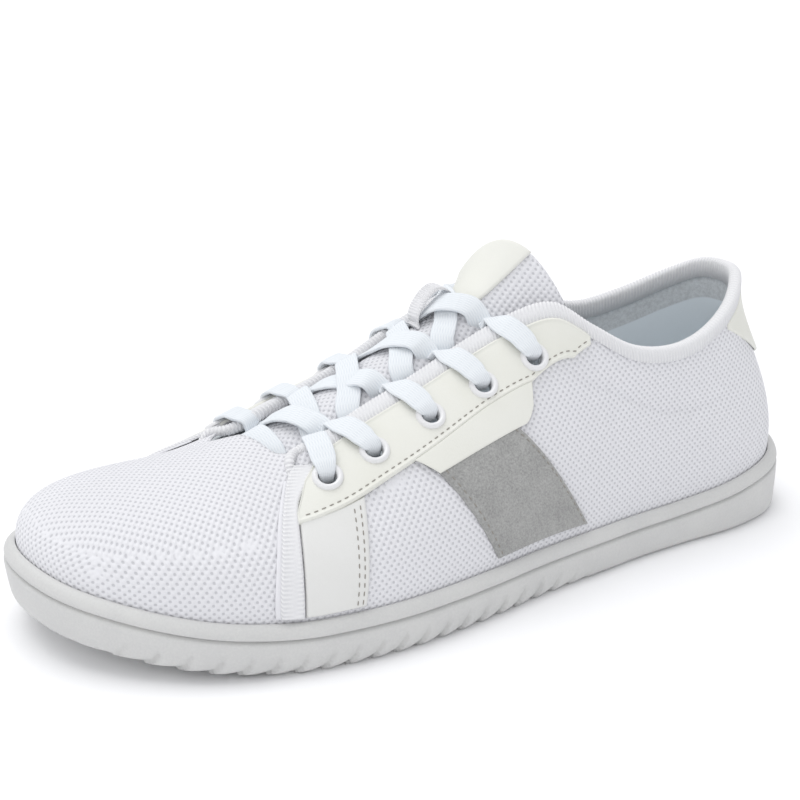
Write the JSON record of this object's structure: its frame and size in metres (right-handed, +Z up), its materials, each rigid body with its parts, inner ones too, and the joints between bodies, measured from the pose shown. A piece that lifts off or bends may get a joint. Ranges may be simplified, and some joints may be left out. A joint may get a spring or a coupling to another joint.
{
  "type": "barefoot shoe",
  "caption": "White knit barefoot shoe for the left foot, with cream leather overlays, a grey side panel, flat laces through ten eyelets and a thin pale cup sole.",
  "frame": {"origin": "on the floor under the heel seat, 38 mm in front of the heel's back", "axes": "+X from heel to toe, +Y to the lateral side, +Z up"},
  "size_m": [0.2862, 0.1067, 0.108],
  "materials": {
    "rubber_pale": "matte",
    "mesh_white": "matte",
    "leather_cream": "satin",
    "leather_off_white": "satin",
    "suede_grey": "matte",
    "ribbed_tape": "matte",
    "lace_white": "matte",
    "eyelet_white": "satin",
    "lining_blue": "matte"
  },
  "bodies": {
    "root": {"collar_binding": "ribbed_tape", "eyelet_lateral_1": "eyelet_white", "eyelet_lateral_2": "eyelet_white", "eyelet_lateral_3": "eyelet_white", "eyelet_lateral_4": "eyelet_white", "eyelet_lateral_5": "eyelet_white", "eyelet_medial_1": "eyelet_white", "eyelet_medial_2": "eyelet_white", "eyelet_medial_3": "eyelet_white", "eyelet_medial_4": "eyelet_white", "eyelet_medial_5": "eyelet_white", "eyestay_lateral": "leather_cream", "eyestay_medial": "leather_cream", "forefoot_strap_lateral": "leather_off_white", "forefoot_strap_medial": "leather_off_white", "front_binding_lateral": "ribbed_tape", "front_binding_medial": "ribbed_tape", "heel_tab": "leather_cream", "insole": "lining_blue", "lace_bar": "lace_white", "lace_crossing_1": "lace_white", "lace_crossing_2": "lace_white", "lace_crossing_3": "lace_white", "lace_crossing_4": "lace_white", "lace_keeper": "ribbed_tape", "outsole": "rubber_pale", "side_panel_lateral": "suede_grey", "side_panel_medial": "suede_grey", "side_tab": "leather_cream", "tongue": "mesh_white", "tongue_patch": "leather_cream", "upper": "mesh_white"}
  },
  "joints": []
}
